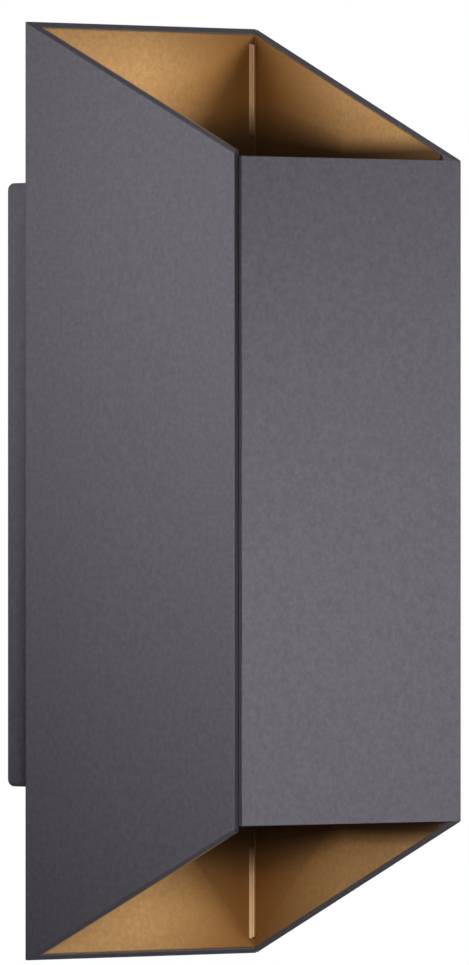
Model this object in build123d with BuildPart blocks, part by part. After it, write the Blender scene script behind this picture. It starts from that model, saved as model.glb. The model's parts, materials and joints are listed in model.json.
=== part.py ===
import os
from math import cos, hypot, radians, sin

from build123d import *

os.makedirs("parts", exist_ok=True)

# Up and down wall light. The wall is the plane y = 0, the front faces -Y and +Z is up, in millimetres.

# Body: two aluminium angles, mitred at two corners and cut on a slant at both ends
back_width = 78.5
front_width = 75.0
body_depth = 82.0
back_height = 240.0
front_height = 168.0
shell_wall = 3.0
fold_radius = 1.2
front_fold_radius = 0.5
mitre_gap = 0.05
mitre_ease = 0.3
groove_gap = 1.15
groove_depth = 2.0
body_drop = 1.6

# Cleats that join the shells behind the mitres
cleat_leg = 12.0
cleat_thickness = 2.0
cleat_end_gap = 0.5

# Gold liners of the light wells
liner_sheet = 0.8
liner_gap = 0.15
liner_setback = 0.2
hem_radius = 0.6
hem_setback = 2.2

# Folded carrier for both lamps and the driver
carrier_height = 88.0
carrier_sheet = 3.0
carrier_gap = 0.3

# Base between the body and the wall
base_width = 63.4
base_height = 155.0
base_depth = 16.0
base_corner = 2.0
base_rim = 3.0
base_plate = 3.0
base_wall_gap = 0.4
seal_width = 2.5
seal_thickness = 2.4
seal_gap = 0.1

# Bracket that stays on the wall
bracket_sheet = 2.0
bracket_side_gap = 3.0
bracket_corner = 3.0
tab_width = 22.0
tab_room = 1.5
tab_front_gap = 1.0
tab_fold = 1.0
slot_length = 12.0
slot_width = 5.0
slot_end_gap = 7.5

# Cable inlet in the bracket
cable_radius = 4.5
cable_hole_radius = 7.5
cable_slot_gap = 5.0
grommet_lip = 1.5
grommet_flange = 1.2
grommet_fit = 0.05

# Screws that clamp the base on the bracket, at its top and bottom
fixing_radius = 2.0
fixing_from_wall = 7.5
fixing_tip_gap = 0.3
fixing_head_radius = 3.6
fixing_head_height = 2.6
fixing_washer_radius = 4.2
fixing_washer_thickness = 0.8

# Screws that hold the base, the rear shell and the carrier together
body_screw_radius = 2.0
body_screw_inset = 4.0
body_screw_end_gap = 5.0
body_screw_head_radius = 3.5
body_screw_head_height = 2.6
body_screw_past = 2.0

# Terminal block and earth on the base plate
block_side = 7.0
block_height = 20.0
block_bracket_gap = 1.5
block_z = -6.0
pole_pitch = 8.0
wire_height = 5.0
wire_radius = 1.1
clamp_gap = 0.6
clamp_wall = 0.8
clamp_end_gap = 1.0
pole_screw_radius = 1.5
pole_screw_offset = 5.5
pole_screw_sink = 0.4
pole_slot_width = 0.5
pole_slot_depth = 0.7
wire_reach = 8.0
block_screw_radius = 1.1
block_screw_head_radius = 2.4
block_screw_head_height = 1.6
block_screw_sink = 2.2
earth_z = 28.0
earth_tag_radius = 4.0
earth_tag_sheet = 0.8
earth_screw_radius = 2.0
earth_screw_head_radius = 3.5
earth_screw_head_height = 2.4
earth_barrel_radius = 1.9
earth_barrel_length = 5.0

# Supply wires from the terminal block to the driver
supply_z = 18.0
supply_hole_margin = 2.1
supply_flange_margin = 1.6

# Driver on the carrier's back plate
driver_width = 44.0
driver_depth = 24.0
driver_end_gap = 3.0
driver_wall = 1.8
driver_corner = 2.0
cover_lip = 2.0
cover_lip_gap = 0.15
ear_width = 14.0
ear_height = 8.0
ear_thickness = 2.5
driver_screw_radius = 1.5
driver_screw_head_radius = 2.75
driver_screw_head_height = 2.0
board_edge_gap = 1.2
board_thickness = 1.6
board_post_radius = 2.5
board_post_height = 4.0
board_post_inset = 5.0
coil_radius = 4.5
coil_gap = 1.0
coil_side_gap = 3.5
coil_end_gap = 1.0
coil_top_gap = 3.3
choke_width = 7.0
choke_length = 13.0
choke_top_gap = 6.8
transformer_coil_gap = 5.5
transformer_side_gap = 2.0
transformer_lead_gap = 3.0
transformer_top_gap = 3.8

# Lamps: the same stack at the top and at the bottom
cup_room = 3.9
cup_wall = 4.3
cup_height = 16.0
cup_floor = 3.0
glass_thickness = 3.0
glass_gap = 0.2
glass_ledge = 3.0
glass_seal_thickness = 1.0
pad_edge_gap = 5.0
pad_thickness = 0.5
led_board_thickness = 1.6
led_size = 3.0
led_height = 0.8
led_inset = 3.5
led_count = 6
optic_lead_gap = 0.7
optic_edge_gap = 1.0
optic_top_gap = 1.5
optic_foot_height = 2.0
optic_foot_wall = 1.5
optic_hollow_wall = 2.5
optic_hollow_height = 2.2
bezel_thickness = 2.0
bezel_lap = 3.5
bezel_bevel = 0.4
bezel_screw_radius = 1.0
bezel_screw_head_radius = 1.7
bezel_screw_head_height = 1.2
bezel_screw_length = 7.0
bezel_screw_count = 4
bezel_screw_angle = 45.0
cup_screw_radius = 1.5
cup_screw_head_radius = 2.75
cup_screw_head_height = 2.0
cup_screw_depth = 6.0
cup_screw_count = 3
cup_screw_angle = 90.0
board_screw_radius = 1.25
board_screw_head_radius = 2.2
board_screw_head_height = 1.5
board_screw_inset = 2.5

# Leads from the driver to the lamps
lead_radius = 1.8
lead_inset = 3.5
lead_end_gap = 7.0
lead_tail = 1.0
bend_share = 0.45
lead_grommet_wall = 1.3
lead_grommet_lip = 1.4

# Clearances that several pieces share
hole_gap = 0.15
thread_gap = 0.05
lead_gap = 0.1
edge_round = 0.5

# Shares of a screw's shank and head that its socket takes
socket_width_share = 0.75
socket_depth_share = 0.5

# Places that follow from the sizes above
rear_y = -base_depth
front_y = rear_y - body_depth
taper = (back_width - front_width) / 2 / body_depth
plate_y = -(base_depth - base_plate)
carrier_back_y = rear_y - shell_wall
driver_y = carrier_back_y - carrier_sheet
plate_z = carrier_height / 2
plate_under_z = plate_z - carrier_sheet
lamp_y = (rear_y + front_y) / 2
well_half_width = (back_width + front_width) / 4 - shell_wall - liner_gap - liner_sheet
cup_radius = well_half_width - cup_room
glass_radius = cup_radius - cup_wall - glass_gap
cup_bore = glass_radius - glass_ledge
pad_radius = cup_bore - pad_edge_gap
board_screw_circle = pad_radius - board_screw_inset
lead_circle = pad_radius - lead_inset
lead_y = lamp_y - lead_circle
lead_hole_radius = lead_radius + lead_gap + lead_grommet_wall
cup_screw_circle = (cup_bore + cup_radius) / 2
optic_top_radius = cup_bore - optic_edge_gap
optic_foot_radius = lead_circle - lead_radius - optic_lead_gap
optic_hollow_radius = optic_foot_radius - optic_hollow_wall
led_ring = optic_hollow_radius - led_inset
cavity_half_width = base_width / 2 - base_rim - seal_width
cavity_half_height = base_height / 2 - base_rim - seal_width
tab_face = cavity_half_height - tab_room
bracket_half_height = tab_face - tab_fold - bracket_sheet
slot_spacing = 2 * (bracket_half_height - slot_end_gap - slot_length / 2)
cable_z = cable_hole_radius + grommet_lip + cable_slot_gap + slot_length / 2 - slot_spacing / 2
driver_height = carrier_height - 2 * (carrier_sheet + driver_end_gap + ear_height)
ear_spots = [(0, sign * (driver_height + ear_height) / 2) for sign in (1, -1)]
inner_width = driver_width - 2 * driver_wall
inner_height = driver_height - 2 * driver_wall
board_y = driver_y - driver_wall - board_post_height
board_width = inner_width - 2 * board_edge_gap
board_height = inner_height - 2 * board_edge_gap
lead_z = board_height / 2 - lead_end_gap
wire_y = plate_y + wire_height
block_width = 2 * (pole_pitch + block_side)
block_depth = base_depth - base_plate - bracket_sheet - block_bracket_gap
block_top = block_z + block_height / 2
clamp_radius = pole_pitch / 2 - block_screw_radius - clamp_gap
clamp_bore = clamp_radius - clamp_wall
pole_x = [-pole_pitch, 0.0, pole_pitch]
block_screw_x = (pole_x[1] + pole_x[2]) / 2
glass_floor = cup_height - glass_thickness - glass_seal_thickness
supply_x = [pole_x[0], pole_x[1]]
supply_mid = (pole_x[0] + pole_x[1]) / 2
body_supply_z = supply_z + body_drop


def keep(piece, name):
    piece.label = name
    export_step(piece, f"parts/{name}.step")


def keep_in_body(piece, name):
    """Body pieces are drawn about the body's own middle, which hangs below the base's middle."""
    keep(Pos(0, 0, -body_drop) * piece, name)


def half_width(y):
    return back_width / 2 - taper * (rear_y - y)


def plan_corners(inset, rear_inset=None):
    """Plan corners set in from the outer faces: rear left, rear right, front right, front left."""
    rear = rear_y - (inset if rear_inset is None else rear_inset)
    front = front_y + inset
    side = inset * hypot(1, taper)
    rear_half = half_width(rear) - side
    front_half = half_width(front) - side
    return [(-rear_half, rear), (rear_half, rear), (front_half, front), (-front_half, front)]


def moved(point, start, end, distance):
    """A plan point moved by a distance in the direction from start to end."""
    length = hypot(end[0] - start[0], end[1] - start[1])
    return (
        point[0] + (end[0] - start[0]) * distance / length,
        point[1] + (end[1] - start[1]) * distance / length,
    )


def towards(start, end, distance):
    return moved(start, start, end, distance)


def ring_spots(radius, count, first_angle):
    angles = [radians(first_angle + 360 * i / count) for i in range(count)]
    return [(radius * cos(angle), radius * sin(angle)) for angle in angles]


def side_block(setback=0.0):
    """Block with the body's side view, which cuts a piece to the two slants."""
    rear_half = back_height / 2 - setback
    front_half = front_height / 2 - setback
    with BuildPart() as block:
        with BuildSketch(Plane.YZ):
            with BuildLine():
                Polyline(
                    (rear_y, rear_half),
                    (front_y, front_half),
                    (front_y, -front_half),
                    (rear_y, -rear_half),
                    close=True,
                )
            make_face()
        extrude(amount=back_width, both=True)
    return block.part


def square_ends(right_x, depth, setback=0.0):
    """Two blocks that cut the ends of a front wall square, level with its outer edge."""
    front_half = front_height / 2 - setback
    with BuildPart() as blocks:
        with Locations((right_x, front_y, front_half)):
            Box(2 * back_width, 2 * depth, back_height, align=(Align.MAX, Align.CENTER, Align.MIN))
        with Locations((right_x, front_y, -front_half)):
            Box(2 * back_width, 2 * depth, back_height, align=(Align.MAX, Align.CENTER, Align.MAX))
    return blocks.part


def shell(corner, grooved, plain, fold):
    """One aluminium angle: two walls that meet at a corner, mitred at both free edges, one with a groove."""
    outer = plan_corners(0)
    inner = plan_corners(shell_wall)
    mouth = towards(outer[grooved], outer[corner], groove_gap)
    floor = towards(outer[grooved], inner[grooved], groove_depth)
    outline = [
        mouth,
        outer[corner],
        towards(outer[plain], outer[corner], mitre_gap),
        towards(inner[plain], inner[corner], mitre_gap),
        inner[corner],
        towards(inner[grooved], inner[corner], mitre_gap),
        moved(floor, outer[grooved], outer[corner], mitre_gap),
        moved(mouth, outer[grooved], inner[grooved], groove_depth),
    ]
    with BuildPart() as angle:
        with BuildSketch() as plan:
            with BuildLine():
                Polyline(*outline, close=True)
            make_face()
            for point, radius in zip(outline[:3], (mitre_ease, fold, mitre_ease)):
                fillet(plan.vertices().sort_by_distance(point)[0], radius)
        extrude(amount=back_height / 2, both=True)
        add(side_block(), mode=Mode.INTERSECT)
    return angle


def cleat(corner, before, after):
    """Angle strip that lies inside a mitred corner and joins the two shells."""
    outer = plan_corners(shell_wall)
    inner = plan_corners(shell_wall + cleat_thickness)
    with BuildPart() as strip:
        with BuildSketch():
            with BuildLine():
                Polyline(
                    towards(outer[corner], outer[before], cleat_leg),
                    outer[corner],
                    towards(outer[corner], outer[after], cleat_leg),
                    towards(inner[corner], inner[after], cleat_leg - cleat_thickness),
                    inner[corner],
                    towards(inner[corner], inner[before], cleat_leg - cleat_thickness),
                    close=True,
                )
            make_face()
        extrude(amount=plate_under_z - cleat_end_gap, both=True)
    return strip


def screws(seat, spots, radius, length, head_radius, head_height):
    """Pan head screws on a seat plane, with the heads on its outer side and a hexagon socket in each."""
    with BuildPart() as group:
        with BuildSketch(seat):
            with Locations(*spots):
                Circle(head_radius)
        extrude(amount=head_height)
        tops = group.faces().group_by(Axis(seat.origin, seat.z_dir))[-1]
        fillet(tops.edges(), edge_round)
        with BuildSketch(seat):
            with Locations(*spots):
                Circle(radius)
        extrude(amount=-length)
        with BuildSketch(seat.offset(head_height)):
            with Locations(*spots):
                RegularPolygon(radius * socket_width_share, 6)
        extrude(amount=-head_height * socket_depth_share, mode=Mode.SUBTRACT)
    return group


def tube_along(points, bend, radius):
    """A round wire along straight runs joined by arcs."""
    with BuildPart() as wire:
        with BuildLine() as route:
            FilletPolyline(*points, radius=bend)
        with BuildSketch(Plane(origin=route.line @ 0, z_dir=route.line % 0)):
            Circle(radius)
        sweep()
    return wire


# Body shells
carrier_half_back = plan_corners(shell_wall)[1][0] - cleat_leg - carrier_gap
body_screw_x = min(carrier_half_back, cavity_half_width) - body_screw_inset
body_screw_z = plate_under_z - body_screw_end_gap
body_screw_spots = [(x, z) for x in (-body_screw_x, body_screw_x) for z in (-body_screw_z, body_screw_z)]
base_screw_spots = [(x, z - body_drop) for x, z in body_screw_spots]
supply_hole_width = pole_pitch + 2 * (wire_radius + supply_hole_margin)
supply_hole_height = 2 * (wire_radius + supply_hole_margin)

with BuildPart() as left_rear_shell:
    add(shell(0, 3, 1, fold_radius).part)
    with BuildSketch(Plane.XZ.offset(base_depth)):
        with Locations(*body_screw_spots):
            Circle(body_screw_radius + hole_gap)
        with Locations((supply_mid, body_supply_z)):
            SlotOverall(supply_hole_width, supply_hole_height)
    extrude(amount=shell_wall, mode=Mode.SUBTRACT)
keep_in_body(left_rear_shell.part, "left_rear_shell")

with BuildPart() as front_right_shell:
    add(shell(2, 3, 1, front_fold_radius).part)
    add(square_ends(plan_corners(shell_wall)[2][0], shell_wall + liner_gap / 2), mode=Mode.SUBTRACT)
keep_in_body(front_right_shell.part, "front_right_shell")

front_corner_cleat = cleat(3, 0, 2)
keep_in_body(front_corner_cleat.part, "front_corner_cleat")

rear_corner_cleat = cleat(1, 0, 2)
keep_in_body(rear_corner_cleat.part, "rear_corner_cleat")

# Lamp carrier: a narrow back plate with a wide plate folded forward at each end
with BuildPart() as lamp_carrier:
    with BuildSketch(Plane.XZ.offset(base_depth + shell_wall)):
        Rectangle(2 * carrier_half_back, carrier_height)
    extrude(amount=carrier_sheet)
    for sign in (1, -1):
        with BuildSketch(Plane.XY.offset(sign * plate_z)):
            with BuildLine():
                Polyline(*plan_corners(shell_wall + carrier_gap, shell_wall), close=True)
            make_face()
        extrude(amount=-sign * carrier_sheet)
        with BuildSketch(Plane.XY.offset(sign * plate_z)):
            with Locations((0, lamp_y)):
                with PolarLocations(cup_screw_circle, cup_screw_count, start_angle=cup_screw_angle):
                    Circle(cup_screw_radius + hole_gap)
            with Locations((0, lead_y)):
                Circle(lead_hole_radius)
        extrude(amount=-sign * carrier_sheet, mode=Mode.SUBTRACT)
    with BuildSketch(Plane.XZ.offset(base_depth + shell_wall)):
        with Locations(*body_screw_spots):
            Circle(body_screw_radius + thread_gap)
        with Locations((supply_mid, body_supply_z)):
            SlotOverall(supply_hole_width, supply_hole_height)
        with Locations(*ear_spots):
            Circle(driver_screw_radius + thread_gap)
    extrude(amount=carrier_sheet, mode=Mode.SUBTRACT)
keep_in_body(lamp_carrier.part, "lamp_carrier")


# Liners: a folded sleeve in each well, closed by a hem in the rear right corner
liner_front_depth = shell_wall + liner_gap + liner_sheet + liner_gap / 2


def liner(sign):
    seat = Plane.XY.offset(sign * plate_z)
    outer = plan_corners(shell_wall + liner_gap)
    inner = plan_corners(shell_wall + liner_gap + liner_sheet)
    with BuildPart() as hem:
        with BuildSketch(seat):
            with Locations(towards(inner[1], inner[3], hem_radius)):
                Circle(hem_radius)
        extrude(amount=sign * back_height / 2)
        add(side_block(hem_setback), mode=Mode.INTERSECT)
    with BuildPart() as sleeve:
        with BuildSketch(seat):
            with BuildLine():
                Polyline(*outer, close=True)
            make_face()
            with BuildLine():
                Polyline(*inner, close=True)
            make_face(mode=Mode.SUBTRACT)
        extrude(amount=sign * back_height / 2)
        add(side_block(liner_setback), mode=Mode.INTERSECT)
        add(square_ends(back_width, liner_front_depth, liner_setback), mode=Mode.SUBTRACT)
        add(hem.part)
    return sleeve


for sign, side in ((1, "upper"), (-1, "lower")):
    keep_in_body(liner(sign).part, f"{side}_liner")


# Lamps: each stack stands on its carrier plate and faces out of its well
def make_lamp(sign, side):
    seat = Plane(origin=(0, lamp_y, sign * plate_z), x_dir=(1, 0, 0), z_dir=(0, 0, sign))
    lead_spot = (0, -sign * lead_circle)
    board_screw_spots = [(board_screw_circle, 0), (-board_screw_circle, 0)]
    board_floor = cup_floor + pad_thickness
    board_top = board_floor + led_board_thickness
    rebate = glass_radius + glass_gap
    bezel_screw_spots = ring_spots((rebate + cup_radius) / 2, bezel_screw_count, bezel_screw_angle)

    with BuildPart() as lamp_cup:
        with BuildSketch(seat):
            Circle(cup_radius)
        extrude(amount=cup_height)
        with BuildSketch(seat.offset(cup_floor)):
            Circle(cup_bore)
        extrude(amount=cup_height - cup_floor, mode=Mode.SUBTRACT)
        with BuildSketch(seat.offset(glass_floor)):
            Circle(rebate)
        extrude(amount=cup_height - glass_floor, mode=Mode.SUBTRACT)
        with BuildSketch(seat):
            with PolarLocations(cup_screw_circle, cup_screw_count, start_angle=sign * cup_screw_angle):
                Circle(cup_screw_radius + thread_gap)
        extrude(amount=cup_screw_depth + hole_gap, mode=Mode.SUBTRACT)
        with BuildSketch(seat):
            with Locations(lead_spot):
                Circle(lead_radius + lead_gap)
            with Locations(*board_screw_spots):
                Circle(board_screw_radius + thread_gap)
        extrude(amount=cup_floor, mode=Mode.SUBTRACT)
        with BuildSketch(seat.offset(cup_height)):
            with Locations(*bezel_screw_spots):
                Circle(bezel_screw_radius + thread_gap)
        extrude(amount=-bezel_screw_length, mode=Mode.SUBTRACT)
    keep_in_body(lamp_cup.part, f"{side}_lamp_cup")

    cup_screws = screws(
        Plane(origin=(0, lamp_y, sign * plate_under_z), x_dir=(1, 0, 0), z_dir=(0, 0, -sign)),
        ring_spots(cup_screw_circle, cup_screw_count, -sign * cup_screw_angle),
        cup_screw_radius,
        carrier_sheet + cup_screw_depth,
        cup_screw_head_radius,
        cup_screw_head_height,
    )
    keep_in_body(cup_screws.part, f"{side}_cup_screws")

    with BuildPart() as thermal_pad:
        with BuildSketch(seat.offset(cup_floor)):
            Circle(pad_radius)
            with Locations(lead_spot):
                Circle(lead_radius + lead_gap, mode=Mode.SUBTRACT)
            with Locations(*board_screw_spots):
                Circle(board_screw_radius + hole_gap, mode=Mode.SUBTRACT)
        extrude(amount=pad_thickness)
    keep_in_body(thermal_pad.part, f"{side}_thermal_pad")

    with BuildPart() as led_board:
        with BuildSketch(seat.offset(board_floor)):
            Circle(pad_radius)
            with Locations(lead_spot):
                Circle(lead_radius + lead_gap, mode=Mode.SUBTRACT)
            with Locations(*board_screw_spots):
                Circle(board_screw_radius + hole_gap, mode=Mode.SUBTRACT)
        extrude(amount=led_board_thickness)
    keep_in_body(led_board.part, f"{side}_led_board")

    with BuildPart() as leds:
        with BuildSketch(seat.offset(board_top)):
            Rectangle(led_size, led_size)
            with PolarLocations(led_ring, led_count):
                Rectangle(led_size, led_size)
        extrude(amount=led_height)
    keep_in_body(leds.part, f"{side}_leds")

    board_screws = screws(
        seat.offset(board_top),
        board_screw_spots,
        board_screw_radius,
        board_top - hole_gap,
        board_screw_head_radius,
        board_screw_head_height,
    )
    keep_in_body(board_screws.part, f"{side}_board_screws")

    optic_top = glass_floor + glass_seal_thickness - optic_top_gap
    optic_plane = Plane(origin=seat.origin, x_dir=(1, 0, 0), z_dir=(0, -sign, 0))
    with BuildPart() as optic:
        with BuildSketch(optic_plane):
            with BuildLine():
                Polyline(
                    (optic_foot_radius, board_top),
                    (optic_foot_radius, board_top + optic_foot_height),
                    (optic_top_radius, optic_top),
                    (0, optic_top),
                    (0, board_top + optic_hollow_height),
                    (optic_hollow_radius, board_top + optic_hollow_height),
                    (optic_foot_radius - optic_foot_wall, board_top),
                    close=True,
                )
            make_face()
        revolve(axis=Axis(seat.origin, (0, 0, sign)))
    keep_in_body(optic.part, f"{side}_optic")

    with BuildPart() as glass_seal:
        with BuildSketch(seat.offset(glass_floor)):
            Circle(glass_radius)
            Circle(cup_bore + glass_gap, mode=Mode.SUBTRACT)
        extrude(amount=glass_seal_thickness)
    keep_in_body(glass_seal.part, f"{side}_glass_seal")

    with BuildPart() as glass:
        with BuildSketch(seat.offset(glass_floor + glass_seal_thickness)):
            Circle(glass_radius)
        extrude(amount=glass_thickness)
    keep_in_body(glass.part, f"{side}_glass")

    with BuildPart() as bezel:
        with BuildSketch(seat.offset(cup_height)):
            Circle(cup_radius)
            Circle(glass_radius - bezel_lap, mode=Mode.SUBTRACT)
        extrude(amount=bezel_thickness)
        outside = bezel.edges().filter_by(GeomType.CIRCLE).sort_by(SortBy.RADIUS)[-2:]
        chamfer(outside.sort_by_distance(seat.origin)[-1], bezel_bevel)
        with BuildSketch(seat.offset(cup_height)):
            with Locations(*bezel_screw_spots):
                Circle(bezel_screw_radius + hole_gap)
        extrude(amount=bezel_thickness, mode=Mode.SUBTRACT)
    keep_in_body(bezel.part, f"{side}_bezel")

    bezel_screws = screws(
        seat.offset(cup_height + bezel_thickness),
        bezel_screw_spots,
        bezel_screw_radius,
        bezel_thickness + bezel_screw_length - hole_gap,
        bezel_screw_head_radius,
        bezel_screw_head_height,
    )
    keep_in_body(bezel_screws.part, f"{side}_bezel_screws")

    lead_end = sign * (plate_z + board_top + lead_tail)
    lead_start = board_y - board_thickness
    led_lead = tube_along(
        [(0, lead_start, sign * lead_z), (0, lead_y, sign * lead_z), (0, lead_y, lead_end)],
        bend_share * min(lead_start - lead_y, abs(lead_end) - lead_z),
        lead_radius,
    )
    keep_in_body(led_lead.part, f"{side}_led_lead")

    with BuildPart() as lead_grommet:
        with BuildSketch(Plane(origin=(0, lead_y, sign * plate_z), z_dir=(0, 0, -sign))):
            Circle(lead_hole_radius - grommet_fit)
        extrude(amount=carrier_sheet + grommet_flange)
        with BuildSketch(Plane(origin=(0, lead_y, sign * plate_under_z), z_dir=(0, 0, -sign))):
            Circle(lead_hole_radius + lead_grommet_lip)
        extrude(amount=grommet_flange)
        with BuildSketch(Plane(origin=(0, lead_y, sign * plate_z), z_dir=(0, 0, -sign))):
            Circle(lead_radius + lead_gap)
        extrude(amount=carrier_sheet + grommet_flange, mode=Mode.SUBTRACT)
    keep_in_body(lead_grommet.part, f"{side}_lead_grommet")


for sign, side in ((1, "upper"), (-1, "lower")):
    make_lamp(sign, side)

# Driver: a case with two ears, a circuit board on posts and a cover with a lip
case_depth = driver_depth - driver_wall
case_plane = Plane.XZ.offset(-driver_y)
post_x = board_width / 2 - board_post_inset
post_z = board_height / 2 - board_post_inset

with BuildPart() as driver_case:
    with BuildSketch(case_plane):
        RectangleRounded(driver_width, driver_height, driver_corner)
    extrude(amount=case_depth)
    with BuildSketch(case_plane.offset(driver_wall)):
        Rectangle(inner_width, inner_height)
    extrude(amount=case_depth - driver_wall, mode=Mode.SUBTRACT)
    with BuildSketch(case_plane):
        with Locations(*ear_spots):
            Rectangle(ear_width, ear_height)
        with Locations((0, 0)):
            Rectangle(driver_width, driver_height, mode=Mode.SUBTRACT)
    extrude(amount=ear_thickness)
    with BuildSketch(case_plane.offset(driver_wall)):
        with GridLocations(2 * post_x, 2 * post_z, 2, 2):
            Circle(board_post_radius)
    extrude(amount=board_post_height)
    with BuildSketch(case_plane):
        with Locations(*ear_spots):
            Circle(driver_screw_radius + hole_gap)
        with Locations(*[(x, body_supply_z) for x in supply_x]):
            Circle(wire_radius + lead_gap)
    extrude(amount=ear_thickness, mode=Mode.SUBTRACT)
keep_in_body(driver_case.part, "driver_case")

with BuildPart() as driver_board:
    with BuildSketch(Plane.XZ.offset(-board_y)):
        Rectangle(board_width, board_height)
    extrude(amount=board_thickness)
keep_in_body(driver_board.part, "driver_board")

board_front = Plane.XZ.offset(-board_y + board_thickness)
component_room = driver_depth - 2 * driver_wall - board_post_height - board_thickness
coil_x = coil_radius + coil_side_gap - board_width / 2
coil_pitch = 2 * coil_radius + coil_gap
coil_z = board_height / 2 - coil_end_gap - coil_radius - coil_pitch / 2
choke_z = choke_length / 2 + coil_end_gap - board_height / 2
transformer_left = coil_x + coil_radius + transformer_coil_gap
transformer_right = board_width / 2 - transformer_side_gap
transformer_length = 2 * (lead_z - lead_radius - transformer_lead_gap)

with BuildPart() as driver_components:
    with BuildSketch(board_front):
        with Locations(((transformer_left + transformer_right) / 2, 0)):
            Rectangle(transformer_right - transformer_left, transformer_length)
    extrude(amount=component_room - transformer_top_gap)
    with BuildSketch(board_front):
        with Locations((coil_x, coil_z)):
            with GridLocations(0, coil_pitch, 1, 2):
                Circle(coil_radius)
    extrude(amount=component_room - coil_top_gap)
    with BuildSketch(board_front):
        with Locations((coil_x, choke_z)):
            Rectangle(choke_width, choke_length)
    extrude(amount=component_room - choke_top_gap)
keep_in_body(driver_components.part, "driver_components")

with BuildPart() as driver_cover:
    with BuildSketch(case_plane.offset(case_depth)):
        RectangleRounded(driver_width, driver_height, driver_corner)
    extrude(amount=driver_wall)
    with BuildSketch(case_plane.offset(case_depth)):
        Rectangle(inner_width - 2 * cover_lip_gap, inner_height - 2 * cover_lip_gap)
        lip_width = inner_width - 2 * cover_lip_gap - 2 * driver_wall
        lip_height = inner_height - 2 * cover_lip_gap - 2 * driver_wall
        Rectangle(lip_width, lip_height, mode=Mode.SUBTRACT)
    extrude(amount=-cover_lip)
    with BuildSketch(case_plane.offset(case_depth)):
        with Locations((0, lead_z), (0, -lead_z)):
            Circle(lead_radius + lead_gap)
    extrude(amount=driver_wall, mode=Mode.SUBTRACT)
keep_in_body(driver_cover.part, "driver_cover")

driver_screws = screws(
    case_plane.offset(ear_thickness),
    ear_spots,
    driver_screw_radius,
    ear_thickness + carrier_sheet - hole_gap,
    driver_screw_head_radius,
    driver_screw_head_height,
)
keep_in_body(driver_screws.part, "driver_screws")

# Base: a shallow box, open to the wall, with a ledge for the seal
with BuildPart() as base:
    with BuildSketch(Plane.XZ.offset(base_wall_gap)):
        RectangleRounded(base_width, base_height, base_corner)
    extrude(amount=base_depth - base_wall_gap)
    with BuildSketch(Plane.XZ):
        Rectangle(2 * cavity_half_width, 2 * cavity_half_height)
    extrude(amount=-plate_y, mode=Mode.SUBTRACT)
    with BuildSketch(Plane.XZ):
        Rectangle(base_width - 2 * base_rim, base_height - 2 * base_rim)
    extrude(amount=seal_thickness, mode=Mode.SUBTRACT)
    with BuildSketch(Plane.XY):
        with Locations((0, -fixing_from_wall)):
            Circle(fixing_radius + thread_gap)
    extrude(amount=base_height / 2, both=True, mode=Mode.SUBTRACT)
    with BuildSketch(Plane.XZ.offset(-plate_y)):
        with Locations(*base_screw_spots):
            Circle(body_screw_radius + hole_gap)
        with Locations((supply_mid, supply_z)):
            SlotOverall(supply_hole_width, supply_hole_height)
        with Locations((pole_x[2], earth_z)):
            Circle(earth_screw_radius + thread_gap)
        with Locations((block_screw_x, block_z)):
            Circle(block_screw_radius + thread_gap)
    extrude(amount=base_plate, mode=Mode.SUBTRACT)
keep(base.part, "base")

with BuildPart() as base_seal:
    with BuildSketch(Plane.XZ):
        Rectangle(base_width - 2 * base_rim - 2 * seal_gap, base_height - 2 * base_rim - 2 * seal_gap)
        Rectangle(2 * cavity_half_width, 2 * cavity_half_height, mode=Mode.SUBTRACT)
    extrude(amount=seal_thickness)
keep(base_seal.part, "base_seal")

plate_seat = Plane(origin=(0, plate_y, 0), x_dir=(-1, 0, 0), z_dir=(0, 1, 0))
body_screws = screws(
    plate_seat,
    base_screw_spots,
    body_screw_radius,
    base_plate + shell_wall + carrier_sheet + body_screw_past,
    body_screw_head_radius,
    body_screw_head_height,
)
keep(body_screws.part, "body_screws")

# Terminal block: three poles, each a brass tube with two clamp screws
block_face = plate_y + block_depth
pole_screw_spots = [(x, block_z + dz) for x in pole_x for dz in (-pole_screw_offset, pole_screw_offset)]

with BuildPart() as terminal_block:
    with BuildSketch(Plane.XZ.offset(-block_face)):
        with Locations((0, block_z)):
            Rectangle(block_width, block_height)
    extrude(amount=block_depth)
    fillet(terminal_block.edges().filter_by(Axis.Y), edge_round)
    with BuildSketch(Plane.XY.offset(block_z - block_height / 2)):
        with Locations(*[(x, wire_y) for x in pole_x]):
            Circle(clamp_radius + lead_gap)
    extrude(amount=block_height, mode=Mode.SUBTRACT)
    with BuildSketch(Plane.XZ.offset(-block_face)):
        with Locations(*pole_screw_spots):
            Circle(pole_screw_radius + hole_gap)
    extrude(amount=block_face - wire_y, mode=Mode.SUBTRACT)
    with BuildSketch(Plane.XZ.offset(-block_face)):
        with Locations((block_screw_x, block_z)):
            Circle(block_screw_radius + hole_gap)
    extrude(amount=block_depth, mode=Mode.SUBTRACT)
    with BuildSketch(Plane.XZ.offset(-block_face)):
        with Locations((block_screw_x, block_z)):
            Circle(block_screw_head_radius + hole_gap)
    extrude(amount=block_screw_sink, mode=Mode.SUBTRACT)
keep(terminal_block.part, "terminal_block")

with BuildPart() as terminal_clamps:
    with BuildSketch(Plane.XY.offset(block_z - block_height / 2 + clamp_end_gap)):
        with Locations(*[(x, wire_y) for x in pole_x]):
            Circle(clamp_radius)
            Circle(clamp_bore, mode=Mode.SUBTRACT)
    extrude(amount=block_height - 2 * clamp_end_gap)
    with BuildSketch(Plane.XZ.offset(-block_face)):
        with Locations(*pole_screw_spots):
            Circle(pole_screw_radius + thread_gap)
    extrude(amount=block_face - wire_y, mode=Mode.SUBTRACT)
keep(terminal_clamps.part, "terminal_clamps")

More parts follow.
